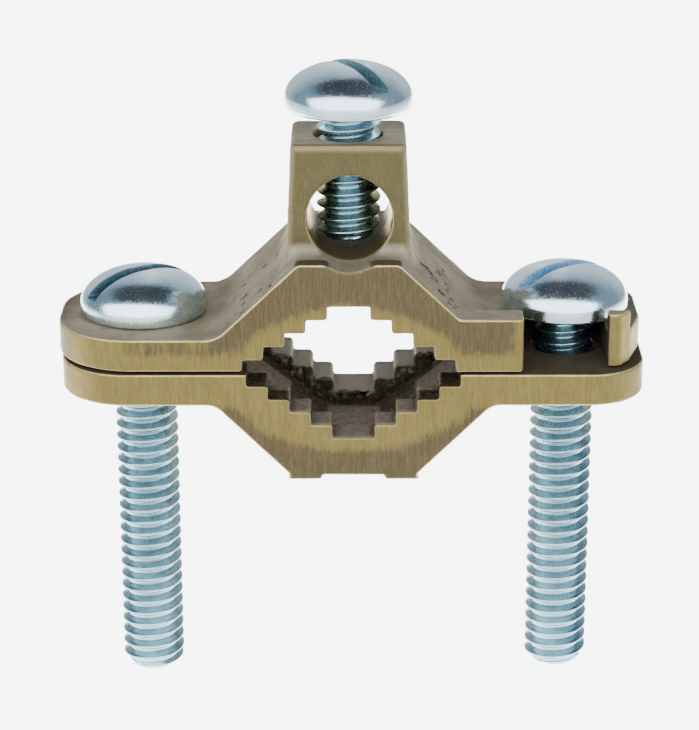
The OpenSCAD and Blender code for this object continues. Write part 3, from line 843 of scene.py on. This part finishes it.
def zinc(name, seed, slot_tone, place):
    m, nt, bs = new_mat(name)
    g = G(nt)
    obj = g.n("ShaderNodeTexCoord").outputs["Object"]
    p = g.scaled(obj, (1, 1, 1), (seed, -seed, seed * 0.3))
    cloud = g.noise(p, 420, 3.0, 0.55)
    speck = g.noise(p, 3400, 4.0, 0.75)
    fine = g.noise(p, 9000, 2.0, 0.6)
    head = g.attr("head")
    col = g.mix(g.ramp(cloud, 0.35, 0.65), ZINC_A, ZINC_B)
    thread = g.mix(g.ramp(cloud, 0.35, 0.65), THREAD_A, THREAD_B)
    col = g.mix(head, thread, col)
    col = g.mix(g.math("MULTIPLY", g.ramp(speck, 0.56, 0.70), g.mix(head, 0.14, 0.40, "FLOAT")), col, g.mix(head, THREAD_C, ZINC_C))
    turn, cutd, xs, zs = place
    sp = g.n("ShaderNodeSeparateXYZ")
    nt.links.new(obj, sp.inputs[0])
    sx = g.math("SUBTRACT", g.math("MULTIPLY", sp.outputs[0], 1000.0), xs)
    sy = g.math("MULTIPLY", sp.outputs[1], 1000.0)
    sz = g.math("SUBTRACT", g.math("MULTIPLY", sp.outputs[2], 1000.0), zs)
    t = math.radians(turn)
    across = g.math("ABSOLUTE", g.math("ADD", g.math("MULTIPLY", sx, -math.sin(t)), g.math("MULTIPLY", sy, math.cos(t))))
    cut = g.math("MULTIPLY", g.ramp(across, 0.80, 0.765), g.ramp(sz, HEAD_H - cutd - 0.10, HEAD_H - cutd - 0.02))
    col = g.mix(cut, col, g.mix(g.ramp(speck, 0.46, 0.64), slot_tone, tuple(min(1.0, 1.7 * c) for c in slot_tone[:3]) + (1,)))
    nt.links.new(col, bs.inputs["Base Color"])
    bs.inputs["Metallic"].default_value = 1.0
    rough = g.math("ADD", g.mix(head, 0.20, 0.12, "FLOAT"), g.math("MULTIPLY", cloud, 0.10))
    rough = g.math("ADD", rough, g.math("MULTIPLY", g.ramp(speck, 0.50, 0.70), g.mix(head, 0.06, 0.16, "FLOAT")))
    rough = g.mix(cut, rough, 0.42, "FLOAT")
    nt.links.new(rough, bs.inputs["Roughness"])
    b = g.n("ShaderNodeBump")
    b.inputs["Strength"].default_value = 0.35
    b.inputs["Distance"].default_value = 0.00003
    nt.links.new(g.math("MULTIPLY", g.math("ADD", g.math("MULTIPLY", speck, 0.9), g.math("MULTIPLY", fine, 0.35)), g.mix(head, 0.35, 1.0, "FLOAT")), b.inputs["Height"])
    nt.links.new(b.outputs[0], bs.inputs["Normal"])
    return m


ZINC_A, ZINC_B, ZINC_C = (0.56, 0.72, 0.79, 1), (0.68, 0.82, 0.87, 1), (0.28, 0.35, 0.40, 1)
THREAD_C = (0.14, 0.24, 0.29, 1)
THREAD_A, THREAD_B = (0.20, 0.32, 0.37, 1), (0.28, 0.42, 0.475, 1)
SLOTS = (0.092, 0.170, 0.225, 1), (0.27, 0.46, 0.64, 1), (0.21, 0.33, 0.37, 1)
PLACES = (34, 2.2, XL, EAR_T + 0.06), (34, 1.5, XR, EAR_T + 0.45), (-55, 1.9, 0.0, BOSS_TOP + 2.62)

upper_ob.data.materials.append(bronze("bronze_upper", 1, 0.0, 0.013))
lower_ob.data.materials.append(bronze("bronze_lower", -1, SHIFT, 0.057))
for i, o in enumerate((left_ob, right_ob, term_ob)):
    o.data.materials.clear()
    o.data.materials.append(zinc("zinc_%d" % i, 0.021 * (i + 1), SLOTS[i], PLACES[i]))

for o, node, slot in ((upper_ob, "upper_jaw", "cast_bronze"), (lower_ob, "lower_jaw", "cast_bronze"), (left_ob, "left_clamp_screw", "zinc_steel"),
                      (right_ob, "right_clamp_screw", "zinc_steel"), (term_ob, "terminal_screw", "zinc_steel")):
    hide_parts(node)
    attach(o, node)

# ------------------------------------------------------------------ stage, light, camera
floor_z = min(cad_box[0][2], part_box("lower_jaw")[0][2] - 0.02794) - 0.0002
n = 24
prof = [(-2.0, 0.0), (0.9, 0.0)]
for k in range(1, n + 1):
    a = math.pi / 2 * k / n
    prof.append((0.9 + 0.6 * math.sin(a), 0.6 - 0.6 * math.cos(a)))
prof.append((1.5, 2.6))
V, F = [], []
for (y, z) in prof:
    V += [(-3.0, y, floor_z + z), (3.0, y, floor_z + z)]
for i in range(len(prof) - 1):
    F.append((2 * i, 2 * i + 1, 2 * i + 3, 2 * i + 2))
me = bpy.data.meshes.new("studio_floor")
me.from_pydata(V, [], F)
floor = bpy.data.objects.new("studio_floor", me)
bpy.context.collection.objects.link(floor)
for poly in me.polygons:
    poly.use_smooth = True
fm, fnt, fbs = new_mat("pale_floor")
fbs.inputs["Base Color"].default_value = (0.93, 0.93, 0.925, 1)
fbs.inputs["Roughness"].default_value = 0.9
fbs.inputs["Specular IOR Level"].default_value = 0.1
# the sweep behind the object is lit from within, as a light table is
fg = G(fnt)
fsep = fg.n("ShaderNodeSeparateXYZ")
fnt.links.new(fg.n("ShaderNodeTexCoord").outputs["Object"], fsep.inputs[0])
fbs.inputs["Emission Color"].default_value = (0.97, 0.985, 1.0, 1)
glow = fg.math("MULTIPLY", fg.ramp(fsep.outputs[1], -0.05, 0.0), fg.ramp(fsep.outputs[1], 0.62, 0.38, 0.05, 1.0))
glow = fg.math("MULTIPLY", glow, fg.ramp(fg.math("ABSOLUTE", fsep.outputs[0]), 0.25, 0.11, 0.07, 1.0))
fnt.links.new(fg.math("MULTIPLY", glow, 6.2), fbs.inputs["Emission Strength"])
me.materials.append(fm)


def area(name, loc, target, size, power, color=(1, 1, 1), size_y=None):
    L = bpy.data.lights.new(name, "AREA")
    L.energy, L.color = power, color
    L.shape = "RECTANGLE"
    L.size, L.size_y = size, size_y or size
    o = bpy.data.objects.new(name, L)
    o.location = loc
    o.rotation_euler = (Vector(target) - Vector(loc)).to_track_quat("-Z", "Y").to_euler()
    bpy.context.collection.objects.link(o)
    return o


def softbox(name, az, el, dist, w, h, radiance, color=(1, 1, 1)):
    """Soft light seen from the object at azimuth az (0 = front, + = right) and elevation el, of a given brightness."""
    a, e = math.radians(az), math.radians(el)
    loc = (dist * math.sin(a) * math.cos(e), -dist * math.cos(a) * math.cos(e), dist * math.sin(e))
    return area(name, loc, (0, 0, 0.0), w, radiance * math.pi * w * h, color, h)


softbox("front_softbox", -8, 31, 0.70, 2.6, 0.82, 4.6, (1.0, 1.0, 1.0))

world = bpy.data.worlds.new("studio_world")
world.use_nodes = True
bpy.context.scene.world = world
wn = world.node_tree
for nd in list(wn.nodes):
    wn.nodes.remove(nd)
wo = wn.nodes.new("ShaderNodeOutputWorld")
wb = wn.nodes.new("ShaderNodeBackground")
wg = G(wn)
wsep = wg.n("ShaderNodeSeparateXYZ")
wn.links.new(wg.n("ShaderNodeTexCoord").outputs["Generated"], wsep.inputs[0])
wn.links.new(wg.mix(wg.ramp(wsep.outputs[2], 0.70, 0.89), (0.26, 0.36, 0.46, 1), (0.072, 0.078, 0.090, 1)), wb.inputs[0])
wb.inputs[1].default_value = 1.0
wn.links.new(wb.outputs[0], wo.inputs[0])

cam_d = bpy.data.cameras.new("camera")
cam = bpy.data.objects.new("camera", cam_d)
bpy.context.collection.objects.link(cam)
cam.location = (0.000537, -0.2404332, 0.0872967)
el, yaw, roll = math.radians(20.4763), math.radians(-0.1144), math.radians(-0.1087)
fw = Vector((math.sin(yaw) * math.cos(el), math.cos(yaw) * math.cos(el), -math.sin(el)))
rt = Vector((math.cos(yaw), -math.sin(yaw), 0))
up = rt.cross(fw)
r2 = rt * math.cos(roll) + up * math.sin(roll)
u2 = -rt * math.sin(roll) + up * math.cos(roll)
cam.rotation_euler = Matrix((r2, u2, -fw)).transposed().to_euler()
cam_d.lens = 2563.93 / 730 * 36
cam_d.sensor_width = 36
cam_d.clip_start, cam_d.clip_end = 0.01, 20
bpy.context.scene.camera = cam
